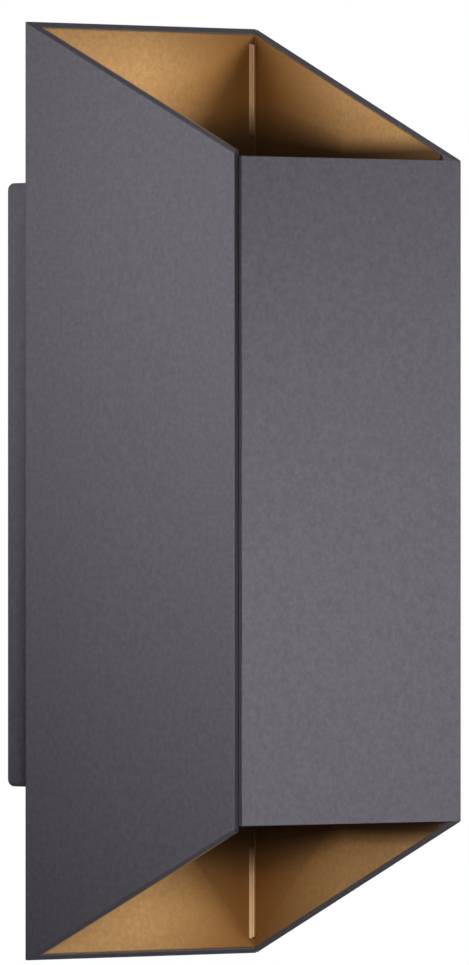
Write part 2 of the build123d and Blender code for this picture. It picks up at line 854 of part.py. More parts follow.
pole_screw_length = block_depth - wire_height - wire_radius - pole_screw_sink - hole_gap
with BuildPart() as terminal_screws:
    with BuildSketch(Plane.XZ.offset(-block_face + pole_screw_sink)):
        with Locations(*pole_screw_spots):
            Circle(pole_screw_radius)
    extrude(amount=pole_screw_length)
    with BuildSketch(Plane.XZ.offset(-block_face + pole_screw_sink)):
        with Locations(*pole_screw_spots):
            Rectangle(2 * pole_screw_radius, pole_slot_width)
    extrude(amount=pole_slot_depth, mode=Mode.SUBTRACT)
keep(terminal_screws.part, "terminal_screws")

terminal_block_screw = screws(
    Plane(origin=(0, block_face - block_screw_sink, 0), x_dir=(-1, 0, 0), z_dir=(0, 1, 0)),
    [(-block_screw_x, block_z)],
    block_screw_radius,
    block_depth - block_screw_sink + base_plate - hole_gap,
    block_screw_head_radius,
    block_screw_head_height,
)
keep(terminal_block_screw.part, "terminal_block_screw")

# Supply wires from two poles, through one oblong grommet, to the driver's board
wire_bend = wire_height - grommet_flange - lead_gap
with BuildPart() as supply_wires:
    for x in supply_x:
        wire = tube_along(
            [(x, wire_y, block_top - wire_reach), (x, wire_y, supply_z), (x, board_y, supply_z)],
            wire_bend,
            wire_radius,
        )
        add(wire.part)
keep(supply_wires.part, "supply_wires")

supply_flange_width = supply_hole_width + 2 * supply_flange_margin
supply_flange_height = supply_hole_height + 2 * supply_flange_margin
with BuildPart() as supply_grommet:
    with BuildSketch(Plane.XZ.offset(-plate_y)):
        with Locations((supply_mid, supply_z)):
            SlotOverall(supply_hole_width - 2 * grommet_fit, supply_hole_height - 2 * grommet_fit)
    extrude(amount=base_plate + shell_wall + carrier_sheet)
    with BuildSketch(Plane.XZ.offset(-plate_y)):
        with Locations((supply_mid, supply_z)):
            SlotOverall(supply_flange_width, supply_flange_height)
    extrude(amount=-grommet_flange)
    with BuildSketch(Plane.XZ.offset(-plate_y - grommet_flange)):
        with Locations(*[(x, supply_z) for x in supply_x]):
            Circle(wire_radius + lead_gap)
    extrude(amount=grommet_flange + base_plate + shell_wall + carrier_sheet, mode=Mode.SUBTRACT)
keep(supply_grommet.part, "supply_grommet")

# Earth: a ring tag under a screw on the base plate, crimped on a wire from the third pole
barrel_y = plate_y + earth_barrel_radius
barrel_end = earth_z - earth_tag_radius - earth_barrel_length
with BuildPart() as earth_tag:
    with BuildSketch(Plane.XZ.offset(-plate_y - earth_tag_sheet)):
        with Locations((pole_x[2], earth_z)):
            Circle(earth_tag_radius)
            Circle(earth_screw_radius + hole_gap, mode=Mode.SUBTRACT)
        with Locations((pole_x[2], earth_z - earth_tag_radius)):
            Rectangle(2 * earth_barrel_radius, earth_tag_radius - earth_screw_radius)
    extrude(amount=earth_tag_sheet)
    with BuildSketch(Plane.XY.offset(barrel_end)):
        with Locations((pole_x[2], barrel_y)):
            Circle(earth_barrel_radius)
            Circle(wire_radius + lead_gap, mode=Mode.SUBTRACT)
    extrude(amount=earth_barrel_length)
keep(earth_tag.part, "earth_tag")

earth_screw = screws(
    Plane(origin=(0, plate_y + earth_tag_sheet, 0), x_dir=(-1, 0, 0), z_dir=(0, 1, 0)),
    [(-pole_x[2], earth_z)],
    earth_screw_radius,
    earth_tag_sheet + base_plate - hole_gap,
    earth_screw_head_radius,
    earth_screw_head_height,
)
keep(earth_screw.part, "earth_screw")

earth_step = (barrel_end - block_top) / 3
earth_lead = tube_along(
    [
        (pole_x[2], wire_y, block_top - wire_reach),
        (pole_x[2], wire_y, block_top + earth_step),
        (pole_x[2], barrel_y, block_top + 2 * earth_step),
        (pole_x[2], barrel_y, earth_z - earth_tag_radius - wire_radius),
    ],
    bend_share * earth_step,
    wire_radius,
)
keep(earth_lead.part, "earth_lead")

# Wall bracket: a plate with a tab folded forward at each end
bracket_width = 2 * (cavity_half_width - bracket_side_gap)
tab_depth = -plate_y - tab_front_gap
with BuildPart() as wall_bracket:
    with BuildSketch(Plane.XZ):
        RectangleRounded(bracket_width, 2 * bracket_half_height, bracket_corner)
    extrude(amount=bracket_sheet)
    with BuildSketch(Plane.YZ):
        with BuildLine():
            Polyline(
                (0, 0),
                (0, tab_face),
                (-tab_depth, tab_face),
                (-tab_depth, tab_face - bracket_sheet),
                (-bracket_sheet, tab_face - bracket_sheet),
                (-bracket_sheet, 0),
                close=True,
            )
        make_face()
        mirror(about=Plane.XZ)
    extrude(amount=tab_width / 2, both=True)
    for sign in (1, -1):
        outer_fold = (0, 0, sign * tab_face)
        inner_fold = (0, -bracket_sheet, sign * (tab_face - bracket_sheet))
        for fold, radius in ((outer_fold, tab_fold + bracket_sheet), (inner_fold, tab_fold)):
            fold_edge = wall_bracket.edges().filter_by(Axis.X).sort_by_distance(fold)[0]
            fillet(fold_edge, radius)
    with BuildSketch(Plane.XZ):
        with GridLocations(0, slot_spacing, 1, 2):
            SlotOverall(slot_length, slot_width, rotation=90)
        with Locations((0, cable_z)):
            Circle(cable_hole_radius)
    extrude(amount=bracket_sheet, mode=Mode.SUBTRACT)
keep(wall_bracket.part, "wall_bracket")

with BuildPart() as cable_grommet:
    with BuildSketch(Plane.XZ):
        with Locations((0, cable_z)):
            Circle(cable_hole_radius - grommet_fit)
    extrude(amount=bracket_sheet)
    with BuildSketch(Plane.XZ.offset(bracket_sheet)):
        with Locations((0, cable_z)):
            Circle(cable_hole_radius + grommet_lip)
    extrude(amount=grommet_flange)
    with BuildSketch(Plane.XZ):
        with Locations((0, cable_z)):
            Circle(cable_radius)
    extrude(amount=bracket_sheet + grommet_flange, mode=Mode.SUBTRACT)
keep(cable_grommet.part, "cable_grommet")

# Fixing screws: each reaches down to a bracket tab, with a sealing washer under its head
for sign, end in ((1, "top"), (-1, "bottom")):
    face = Plane(origin=(0, -fixing_from_wall, sign * base_height / 2), x_dir=(1, 0, 0), z_dir=(0, 0, sign))
    with BuildPart() as washer:
        with BuildSketch(face):
            Circle(fixing_washer_radius)
            Circle(fixing_radius + hole_gap, mode=Mode.SUBTRACT)
        extrude(amount=fixing_washer_thickness)
    keep(washer.part, f"{end}_screw_washer")
    fixing_length = fixing_washer_thickness + base_height / 2 - tab_face - fixing_tip_gap
    fixing_screw = screws(
        face.offset(fixing_washer_thickness),
        [(0, 0)],
        fixing_radius,
        fixing_length,
        fixing_head_radius,
        fixing_head_height,
    )
    keep(fixing_screw.part, f"{end}_fixing_screw")
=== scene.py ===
import json
import math

import bpy
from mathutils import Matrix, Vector


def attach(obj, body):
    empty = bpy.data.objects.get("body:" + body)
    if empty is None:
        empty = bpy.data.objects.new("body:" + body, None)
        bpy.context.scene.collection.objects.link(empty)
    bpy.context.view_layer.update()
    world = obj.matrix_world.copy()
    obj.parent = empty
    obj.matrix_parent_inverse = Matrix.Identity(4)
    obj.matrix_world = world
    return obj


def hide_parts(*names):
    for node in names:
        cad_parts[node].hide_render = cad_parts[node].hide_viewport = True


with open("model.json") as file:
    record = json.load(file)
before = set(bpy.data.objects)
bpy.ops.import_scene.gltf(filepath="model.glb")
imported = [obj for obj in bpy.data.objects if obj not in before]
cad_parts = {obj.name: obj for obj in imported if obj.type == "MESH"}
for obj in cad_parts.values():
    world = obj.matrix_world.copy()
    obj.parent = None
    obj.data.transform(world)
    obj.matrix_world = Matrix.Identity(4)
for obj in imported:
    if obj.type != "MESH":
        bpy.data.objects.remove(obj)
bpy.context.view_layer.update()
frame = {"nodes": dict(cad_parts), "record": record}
mm = 0.001
weld = 0.002 * mm       # points closer than this become one
hair = 0.01 * mm        # reach of the tests that look for edges


# modelling by hand: selections, cuts and modifiers

def clearSelection():
    if bpy.context.object and bpy.context.object.mode == "EDIT":
        bpy.ops.object.mode_set(mode="OBJECT")
    bpy.ops.object.select_all(action="DESELECT")


def activate(piece):
    clearSelection()
    piece.select_set(True)
    bpy.context.view_layer.objects.active = piece


def settle(name):
    # names the new primitive and puts its place into its mesh
    piece = bpy.context.object
    piece.name = piece.data.name = name
    bpy.ops.object.transform_apply(location=True, rotation=True, scale=True)
    return piece


def settleMoved(piece):
    activate(piece)
    return settle(piece.name)


def block(name, low, high):
    clearSelection()
    middle = [(a + b) / 2 for a, b in zip(low, high)]
    size = [b - a for a, b in zip(low, high)]
    bpy.ops.mesh.primitive_cube_add(size=1, location=middle, scale=size)
    return settle(name)


def rod(name, start, end, radius, sides=48):
    # a cylinder between two points
    clearSelection()
    start, end = Vector(start), Vector(end)
    along = end - start
    bpy.ops.mesh.primitive_cylinder_add(
        vertices=sides, radius=radius, depth=along.length, location=(start + end) / 2,
        rotation=along.to_track_quat("Z", "Y").to_euler())
    return settle(name)


def edit(piece):
    activate(piece)
    bpy.ops.object.mode_set(mode="EDIT")


def done():
    bpy.ops.object.mode_set(mode="OBJECT")


def pick(piece, kind, test):
    # selects the faces, edges or points that pass the test, and stays in edit mode
    edit(piece)
    bpy.ops.mesh.select_mode(type=kind)
    bpy.ops.mesh.select_all(action="DESELECT")
    done()
    mesh = piece.data
    if kind == "FACE":
        for face in mesh.polygons:
            face.select = test(face.center, face.normal)
    elif kind == "EDGE":
        for edge in mesh.edges:
            edge.select = test(*(mesh.vertices[i].co for i in edge.vertices))
    else:
        for point in mesh.vertices:
            point.select = test(point.co)
    bpy.ops.object.mode_set(mode="EDIT")


def every(middle, normal):
    return True


def cut(piece, point, normal, test=every):
    # slices off what lies on the normal's side, of the faces that pass the test, and closes the cut
    pick(piece, "FACE", test)
    bpy.ops.mesh.bisect(plane_co=point, plane_no=normal, use_fill=True, clear_outer=True, threshold=weld)
    done()


def score(piece, x):
    # a line of edges round the piece at this x
    pick(piece, "FACE", every)
    bpy.ops.mesh.bisect(plane_co=(x, 0, 0), plane_no=(1, 0, 0), threshold=weld)
    done()


def pull(x, y, z):
    # extrudes the selected faces
    bpy.ops.mesh.extrude_region_move(TRANSFORM_OT_translate={"value": (x, y, z)})


def roundEdges(piece, test, width, segments=6):
    pick(piece, "EDGE", test)
    bpy.ops.mesh.bevel(offset=width, segments=segments, affect="EDGES", clamp_overlap=False)
    done()


def modify(piece, kind, **settings):
    modifier = piece.modifiers.new(kind.title(), kind)
    for key, value in settings.items():
        setattr(modifier, key, value)
    clearSelection()
    bpy.context.view_layer.objects.active = piece
    bpy.ops.object.modifier_apply(modifier=modifier.name)


def soften(piece, width, segments=2, angle=35):
    # a small round on every sharp edge
    modify(piece, "BEVEL", width=width, segments=segments, limit_method="ANGLE",
           angle_limit=math.radians(angle), use_clamp_overlap=False)


def carve(piece, tools, operation="DIFFERENCE"):
    # takes the tool pieces out of a piece, or adds them to it
    for tool in tools:
        modify(piece, "BOOLEAN", object=tool, operation=operation, solver="EXACT")
        bpy.data.objects.remove(tool)


def closeMesh(piece):
    # merges doubles, drops loose edges and turns all faces outwards
    edit(piece)
    bpy.ops.mesh.select_all(action="SELECT")
    bpy.ops.mesh.remove_doubles(threshold=weld)
    bpy.ops.mesh.dissolve_degenerate(threshold=weld)
    bpy.ops.mesh.delete_loose()
    bpy.ops.mesh.select_all(action="SELECT")
    bpy.ops.mesh.normals_make_consistent(inside=False)
    done()


def turned(name, outline, middle, axis="Z", steps=96):
    # spins a closed outline of (radius, height) round an axis through the middle
    clearSelection()
    bpy.ops.mesh.primitive_circle_add(vertices=len(outline), radius=mm, fill_type="NOTHING")
    piece = settle(name)
    for point, (radius, height) in zip(piece.data.vertices, outline):
        point.co = (radius, 0, height)
    edit(piece)
    bpy.ops.mesh.select_all(action="SELECT")
    bpy.ops.mesh.spin(steps=steps, angle=2 * math.pi, center=(0, 0, 0), axis=(0, 0, 1))
    done()
    closeMesh(piece)
    if axis == "Y":
        piece.rotation_euler.x = math.pi / 2   # heights run towards -Y
    piece.location = middle
    return settleMoved(piece)


def copyOf(piece, name):
    activate(piece)
    bpy.ops.object.duplicate()
    return settle(name)


def turnOver(piece, y):
    # half a turn about the line along X at this y, from the top end to the bottom end
    piece.rotation_euler.x = math.pi
    piece.location.y = 2 * y
    return settleMoved(piece)


def joinUp(piece, others):
    clearSelection()
    for other in others:
        other.select_set(True)
    piece.select_set(True)
    bpy.context.view_layer.objects.active = piece
    bpy.ops.object.join()
    return piece


def smooth(piece, angle=30):
    # large flat faces keep their own normals
    activate(piece)
    bpy.ops.object.shade_smooth_by_angle(angle=math.radians(angle))
    modify(piece, "WEIGHTED_NORMAL", keep_sharp=True)


def place(piece, body, node, slot):
    # the piece moves with its body and stands for its CAD node
    piece.data.materials.clear()
    piece.data.materials.append(finishes[slot])
    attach(piece, body)
    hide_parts(node)
    print("piece:", piece.name, len(piece.data.polygons), "faces")


# shader maths: a strand is a socket that Python's operators work on

class Strand:
    def __init__(self, finish, socket):
        self.finish, self.socket = finish, socket

    def maths(self, operation, a, b=0.0):
        return self.finish.add("Math", {"operation": operation}, {0: a, 1: b})

    def __add__(self, other):
        return self.maths("ADD", self, other)

    def __sub__(self, other):
        return self.maths("SUBTRACT", self, other)

    def __rsub__(self, other):
        return self.maths("SUBTRACT", other, self)

    def __mul__(self, other):
        return self.maths("MULTIPLY", self, other)

    __radd__, __rmul__ = __add__, __mul__

    def above(self, edge):
        return self.maths("GREATER_THAN", self, edge)

    def below(self, edge):
        return self.maths("LESS_THAN", self, edge)


class Finish:
    # one material's nodes
    def __init__(self, name, data=None):
        self.data = data or bpy.data.materials.new(name)
        self.data.use_nodes = True
        self.tree = self.data.node_tree
        self.tree.nodes.clear()

    def add(self, kind, settings=None, sockets=None, out=0):
        node = self.tree.nodes.new("ShaderNode" + kind)
        for key, value in (settings or {}).items():
            setattr(node, key, value)
        for key, value in (sockets or {}).items():
            if isinstance(value, Strand):
                self.tree.links.new(value.socket, node.inputs[key])
            else:
                node.inputs[key].default_value = value
        return Strand(self, node.outputs[out]) if node.outputs else None

    def spot(self):
        return self.add("TexCoord", out="Object")

    def axis(self, letter):
        return self.add("SeparateXYZ", None, {0: self.spot()}, out=letter)

    def grain(self, size, detail=2.0, stretch=(1, 1, 1)):
        # noise whose lumps are about this size, in metres
        scaled = self.add("Mapping", {"vector_type": "POINT"}, {
            "Vector": self.spot(), "Scale": [s / size for s in stretch]})
        return self.add("TexNoise", None, {"Vector": scaled, "Scale": 1.0, "Detail": detail})

    def spread(self, strand, low, high, bottom=0.0, top=1.0):
        # maps a range onto another, cut off at its ends
        return self.add("MapRange", None, {
            "Value": strand, "From Min": low, "From Max": high, "To Min": bottom, "To Max": top})

    def even(self, noise, bottom=0.0, top=1.0):
        # noise lies mostly between 0.3 and 0.7
        return self.spread(noise, 0.3, 0.7, bottom, top)

    def blend(self, mask, dark, light, mode="MIX"):
        sockets = {"Factor": mask, 6: dark, 7: light}
        return self.add("Mix", {"data_type": "RGBA", "blend_type": mode}, sockets, out=2)

    def mottle(self, colour, noise):
        # soft blotches, a tenth darker and paler
        pale = self.blend(self.even(noise), tone((0.9, 0.9, 0.9)), tone((1.1, 1.1, 1.1)))
        return self.blend(1.0, colour, pale, "MULTIPLY")

    def bump(self, height, depth):
        return self.add("Bump", None, {"Height": height, "Distance": depth, "Strength": 1.0})

    def surface(self, **sockets):
        names = {"colour": "Base Color", "rough": "Roughness", "metal": "Metallic", "normal": "Normal",
                 "specular": "Specular IOR Level", "ior": "IOR", "clear": "Transmission Weight"}
        shader = self.add("BsdfPrincipled", None, {names[key]: value for key, value in sockets.items()})
        self.add("OutputMaterial", None, {"Surface": shader})
        return self.data


def tone(colour, factor=1.0):
    return tuple(channel * factor for channel in colour) + (1.0,)


finishes = {}

# the joint colour is painted shade laid in the mitre groove at the near corner
coatLook = {"colour": (0.113, 0.106, 0.123), "grain": 0.5 * mm, "fleck": 0.16 * mm, "blotch": 1.3 * mm,
            "bump": 0.04 * mm, "rough": (0.62, 0.78), "specular": 0.03, "joint": (0.045, 0.043, 0.049),
            "jointCorner": (-37.5 * mm, -98 * mm), "jointReach": 5 * mm, "jointHalf": 0.83 * mm}


def makeCoat(look):
    # powder coat: fine orange peel, dark and pale flecks, soft blotches where it lies thicker, and painted shade in
    # the mitre groove
    finish = Finish("anthracite_coat")
    peel = finish.grain(look["grain"], 3.0)
    fleck = finish.grain(look["fleck"], 1.0)
    blotch = finish.grain(look["blotch"], 4.0)
    speckle = finish.blend(finish.even(fleck), tone(look["colour"], 0.86), tone(look["colour"], 1.14))
    colour = finish.mottle(speckle, blotch)
    across = finish.axis("X") - look["jointCorner"][0]
    along = finish.axis("Y") - look["jointCorner"][1]
    aside = across - along
    near = (across * across + along * along).below(look["jointReach"] ** 2)
    joint = near * (0.5 * aside * aside).below(look["jointHalf"] ** 2)      # painted shade in the groove
    return finish.surface(
        colour=finish.blend(joint, colour, tone(look["joint"])), specular=look["specular"],
        rough=finish.even(peel, *look["rough"]), normal=finish.bump(peel, look["bump"]))


finishes["anthracite_coat"] = makeCoat(coatLook)

# the primer colour is painted shade: the dark band behind the front edge, the rim and the far corner
goldLook = {"colour": (0.57, 0.325, 0.13), "cornerShade": (0.30, 0.135, 0.036), "paintedShade": (0.095, 0.051, 0.023),
            "grain": 0.42 * mm, "fleck": 0.16 * mm, "blotch": 1.2 * mm, "bump": 0.03 * mm, "rough": (0.42, 0.58),
            "metal": 0.3, "specular": 0.02, "middle": -1.6 * mm, "corner": (4 * mm, 36 * mm),
            "deep": 86.5 * mm, "deepRise": 4 * mm, "fade": 4.5 * mm, "fadeRise": 6 * mm, "belowShadeBand": (84 * mm, 74 * mm),
            "rimHeight": 127.02 * mm, "rimSlant": 36 / 82, "rimReach": 10 * mm, "rimShadeTone": 0.72,
            "hem": (33.85 * mm, -20.37 * mm), "hemReach": 0.64 * mm, "hemTop": 2.4 * mm,
            "hemDeep": (92 * mm, 100 * mm), "hemColour": (0.85, 0.60, 0.36)}


def makeGold(look):
    # sprayed metallic paint with bright flakes, and painted shade towards the rim, in a band behind
    # the front edge and in the far corner; below that band the gold shows again
    finish = Finish("gold_liner")
    peel = finish.grain(look["grain"], 3.0)
    fleck = finish.grain(look["fleck"], 1.0)
    blotch = finish.grain(look["blotch"], 4.0)
    across = finish.axis("X") - look["hem"][0]
    along = finish.axis("Y") - look["hem"][1]
    reach = across * across + along * along
    away = reach.maths("SQRT", reach)
    height = finish.axis("Z") - look["middle"]
    depth = height.maths("ABSOLUTE", height)
    # painted shade in the far corner, round the hem
    outsideCornerShade = finish.spread(away, *look["corner"])
    inCornerShade = 1 - outsideCornerShade
    below = look["rimHeight"] + look["rimSlant"] * finish.axis("Y") - depth      # how far below the slanted rim
    # painted shade in a band behind the front edge, reaching higher in the far corner
    aboveShadeBand = finish.spread(depth - look["deep"] - look["deepRise"] * inCornerShade, 0.0, look["fade"] + look["fadeRise"] * inCornerShade)
    # painted shade towards the rim
    rimShade = finish.spread(below, 0.0, look["rimReach"], look["rimShadeTone"], 1.0)
    flakes = finish.even(fleck)
    sheet = finish.blend(flakes, tone(look["colour"], 0.84), tone(look["colour"], 1.16))
    paint = finish.mottle(sheet, blotch)
    # below the painted shade band the gold shows again
    belowShadeBand = finish.spread(depth, *look["belowShadeBand"])
    unshaded = aboveShadeBand.maths("MAXIMUM", aboveShadeBand * rimShade, belowShadeBand)
    # gold paint with the painted shade laid over it
    paintWithShade = finish.blend(unshaded, tone(look["paintedShade"]), finish.blend(outsideCornerShade, tone(look["cornerShade"]), paint))
    # the hem darkens into the painted shade further down the well
    hem = finish.blend(finish.spread(depth, *look["hemDeep"]), tone(look["paintedShade"]), tone(look["hemColour"]))
    onHem = reach.below(look["hemReach"] ** 2) * below.above(look["hemTop"])
    return finish.surface(
        colour=finish.blend(onHem, paintWithShade, hem),
        metal=look["metal"] * flakes * unshaded, specular=look["specular"],
        rough=finish.even(peel, *look["rough"]), normal=finish.bump(peel, look["bump"]))


finishes["gold_liner"] = makeGold(goldLook)

cloudSizes = {"metal": 12 * mm, "moulded": 9 * mm, "clear": 6 * mm}

# metals: colour, roughness, scratch size, stretch of the scratches, bump depth
metalLooks = {
    "mill_aluminium": ((0.62, 0.62, 0.63), (0.32, 0.46), 0.3 * mm, (1, 1, 0.02), 0.008 * mm),
    "cast_aluminium": ((0.50, 0.50, 0.51), (0.46, 0.62), 0.5 * mm, (1, 1, 1), 0.03 * mm),
    "zinc_steel": ((0.30, 0.305, 0.31), (0.56, 0.68), 1.2 * mm, (1, 1, 0.8), 0.012 * mm),
    "stainless_steel": ((0.50, 0.49, 0.48), (0.24, 0.36), 0.2 * mm, (0.3, 0.3, 1), 0.006 * mm),
    "bare_brass": ((0.70, 0.52, 0.22), (0.24, 0.38), 0.4 * mm, (1, 1, 0.1), 0.008 * mm),
    "tinned_copper": ((0.60, 0.60, 0.58), (0.30, 0.46), 0.6 * mm, (1, 1, 1), 0.01 * mm),
}


def makeMetal(name, colour, rough, size, stretch, depth):
    finish = Finish(name)
    scratch = finish.grain(size, 3.0, stretch)
    cloud = finish.grain(cloudSizes["metal"], 3.0)
    dull = finish.blend(finish.even(cloud), tone(colour, 0.86), tone(colour, 1.06))
    return finish.surface(colour=dull, metal=1.0, rough=finish.even(scratch, *rough),
                          normal=finish.bump(scratch, depth))


for name, look in metalLooks.items():
    finishes[name] = makeMetal(name, *look)

# plastics, rubber and coats: colour, roughness, grain size, bump depth
mouldedLooks = {
    "black_coat": ((0.028, 0.028, 0.030), (0.48, 0.62), 0.4 * mm, 0.02 * mm),
    "grey_silicone": ((0.36, 0.37, 0.39), (0.66, 0.80), 0.5 * mm, 0.02 * mm),
    "black_rubber": ((0.022, 0.022, 0.023), (0.66, 0.82), 0.25 * mm, 0.015 * mm),
    "black_sheath": ((0.026, 0.026, 0.028), (0.40, 0.52), 0.6 * mm, 0.01 * mm),
    "white_plastic": ((0.76, 0.76, 0.73), (0.38, 0.50), 0.35 * mm, 0.01 * mm),
    "green_board": ((0.03, 0.20, 0.07), (0.26, 0.40), 0.8 * mm, 0.01 * mm),
    "dark_components": ((0.05, 0.05, 0.055), (0.34, 0.55), 0.5 * mm, 0.015 * mm),
}


def makeMoulded(name, colour, rough, size, depth):
    finish = Finish(name)
    texture = finish.grain(size, 3.0)
    cloud = finish.grain(cloudSizes["moulded"], 2.0)
    mottled = finish.blend(finish.even(cloud), tone(colour, 0.9), tone(colour, 1.08))
    return finish.surface(colour=mottled, rough=finish.even(texture, *rough),
                          normal=finish.bump(texture, depth))


for name, look in mouldedLooks.items():
    finishes[name] = makeMoulded(name, *look)

earthLook = {"green": (0.03, 0.22, 0.03), "yellow": (0.72, 0.55, 0.03), "axisX": 8 * mm, "stripe": 0.45 * mm,
             "grain": 0.6 * mm, "rough": (0.4, 0.52), "bump": 0.01 * mm}


def makeEarthSheath(look):
    # a yellow stripe along a green wire
    finish = Finish("green_yellow_sheath")
    aside = finish.axis("X") - look["axisX"]
    stripe = (aside * aside).below(look["stripe"] ** 2)
    texture = finish.grain(look["grain"])
    return finish.surface(colour=finish.blend(stripe, tone(look["green"]), tone(look["yellow"])),
                          rough=finish.even(texture, *look["rough"]), normal=finish.bump(texture, look["bump"]))


finishes["green_yellow_sheath"] = makeEarthSheath(earthLook)

boardLook = {"mask": (0.80, 0.80, 0.78), "track": (0.66, 0.64, 0.58), "middle": -57 * mm,
             "tracks": ((9.0 * mm, 10.2 * mm), (12.4 * mm, 13.4 * mm)), "bump": 0.03 * mm,
             "grain": 0.5 * mm, "rough": (0.34, 0.46), "trackGloss": 0.08, "maskGrain": 0.1}


def makeLedBoard(look):
    # white solder mask over two ring tracks
    finish = Finish("white_board")
    across, along = finish.axis("X"), finish.axis("Y") - look["middle"]
    reach = across * across + along * along
    rings = [reach.above(low ** 2) * reach.below(high ** 2) for low, high in look["tracks"]]
    track = rings[0] + rings[1]
    texture = finish.grain(look["grain"])
    return finish.surface(colour=finish.blend(track, tone(look["mask"]), tone(look["track"])),
                          rough=finish.even(texture, *look["rough"]) - look["trackGloss"] * track,
                          normal=finish.bump(track + look["maskGrain"] * texture, look["bump"]))


finishes["white_board"] = makeLedBoard(boardLook)

phosphorLook = {"colour": (0.80, 0.56, 0.08), "grain": 0.09 * mm, "rough": (0.42, 0.6), "bump": 0.01 * mm}


def makePhosphor(look):
    finish = Finish("led_phosphor")
    grit = finish.grain(look["grain"], 2.0)
    colour = finish.blend(finish.even(grit), tone(look["colour"], 0.8), tone(look["colour"], 1.1))
    return finish.surface(colour=colour, rough=finish.even(grit, *look["rough"]),
                          normal=finish.bump(grit, look["bump"]))


finishes["led_phosphor"] = makePhosphor(phosphorLook)

# clear pieces: colour, refraction, roughness
clearLooks = {"clear_acrylic": ((0.96, 0.97, 0.97), 1.49, (0.03, 0.08)),
              "clear_glass": ((0.93, 0.97, 0.96), 1.52, (0.0, 0.03))}


def makeClear(name, colour, ior, rough):
    # polished, with a faint film of dust
    finish = Finish(name)
    film = finish.grain(cloudSizes["clear"], 4.0)
    shade = finish.blend(finish.even(film), tone(colour, 0.98), tone(colour))
    return finish.surface(colour=shade, ior=ior, clear=1.0, rough=finish.spread(film, 0.4, 0.75, *rough))


for name, look in clearLooks.items():
    finishes[name] = makeClear(name, *look)

for row in frame["record"]["subparts"]:
    for holder in frame["nodes"][row["node"]].material_slots:
        holder.material = finishes[row["material_slot"]]
print("finishes:", len(finishes))


# body: a tapered tube of two angles, cut on a slant at both ends, drawn about its own middle

body = {"backHalf": 39.25 * mm, "frontHalf": 37.5 * mm, "rear": -16 * mm, "front": -98 * mm,
        "backTop": 120 * mm, "frontTop": 84 * mm, "squareTop": 83.98 * mm, "squareSpare": 0.07 * mm,
        "spare": 130 * mm, "drop": 1.6 * mm}
taper = (body["backHalf"] - body["frontHalf"]) / (body["rear"] - body["front"])
slant = (body["backTop"] - body["frontTop"]) / (body["rear"] - body["front"])


def planCorners(inset):
    # rear left, rear right, front right, front left
    side = inset * math.hypot(1, taper)
    rearHalf = body["backHalf"] - taper * inset - side
    frontHalf = body["frontHalf"] + taper * inset - side
    rear, front = body["rear"] - inset, body["front"] + inset
    return [Vector((-rearHalf, rear, 0)), Vector((rearHalf, rear, 0)),
            Vector((frontHalf, front, 0)), Vector((-frontHalf, front, 0))]


def bodyBlock(name, inset, low, high):
    corners = planCorners(inset)
    piece = block(name, (corners[0].x, corners[2].y, low), (corners[1].x, corners[1].y, high))
    middle = (corners[1].y + corners[2].y) / 2
    pick(piece, "VERT", lambda point: point.y < middle)
    bpy.ops.transform.resize(value=(corners[2].x / corners[1].x, 1, 1), center_override=(0, corners[2].y, 0))
    done()
    return piece


def inPlan(corner, reach=0.03 * mm):
    # test for upright edges at a plan corner
    return lambda a, b: max(math.hypot(p.x - corner.x, p.y - corner.y) for p in (a, b)) < reach


def plateCorners(wide, tall):
    # test for the edges along Y at the corners of a plate
    return lambda a, b: all(abs(p.x) > wide - hair and abs(p.z) > tall - hair for p in (a, b)) and abs(a.y - b.y) > mm


def besideLine(start, end, reach):
    # test for faces near the line between two plan corners
    along = (end - start).normalized()
    return lambda middle, normal: abs((middle.x - start.x) * along.y - (middle.y - start.y) * along.x) < reach


def slantHeight(y, setback=0.0):
    return body["backTop"] - setback + slant * (y - body["rear"])


def onRim(a, b):
    # test for the edges of the slanted rims and of the square front edge
    slanted = max(abs(abs(p.z) - slantHeight(p.y)) for p in (a, b)) < hair / 2
    return slanted or max(abs(abs(p.z) - body["squareTop"]) for p in (a, b)) < hair / 2


def cutSlants(piece, setback=0.0, ends=(1, -1)):
    for end in ends:
        cut(piece, (0, body["rear"], end * slantHeight(body["rear"], setback)), (0, -slant, end))


def lower(piece):
    # from the body's own middle to its place below the base's middle
    piece.location.z = -body["drop"]
    return settleMoved(piece)


shellLook = {"wall": 3 * mm, "fold": {0: 1.2 * mm, 2: 0.5 * mm}, "mitreGap": 0.05 * mm, "mitreEase": 0.72 * mm,
             "grooveGap": 1.15 * mm, "grooveDepth": 2.0 * mm, "grooveEase": 0.56 * mm, "rim": 0.22 * mm,
             "holesReach": 30 * mm, "screwHole": 2.15 * mm, "screwX": 19.885 * mm, "screwZ": 36 * mm,
             "slotX": -4 * mm, "slotZ": 18 * mm, "slotWidth": 14.4 * mm, "slotHeight": 6.4 * mm,
             "longRim": 5 * mm, "nearFold": 2 * mm}
through = 5 * mm      # how far the hole cutters reach to each side


def slotTool(y, z, look):
    # oblong cutter along Y
    wide, tall = look["slotWidth"] / 2, look["slotHeight"] / 2
    low, high = (look["slotX"] - wide, y - through, z - tall), (look["slotX"] + wide, y + through, z + tall)
    tool = block("slotTool", low, high)
    almostHalf = 0.999 * min(wide, tall)
    roundEdges(tool, lambda a, b: abs(a.x - b.x) + abs(a.z - b.z) < hair, almostHalf, 12)
    return tool


def screwTools(y, shift, look):
    return [rod("screwTool", (x, y - through, z + shift), (x, y + through, z + shift), look["screwHole"], 32)
            for x in (-look["screwX"], look["screwX"]) for z in (-look["screwZ"], look["screwZ"])]


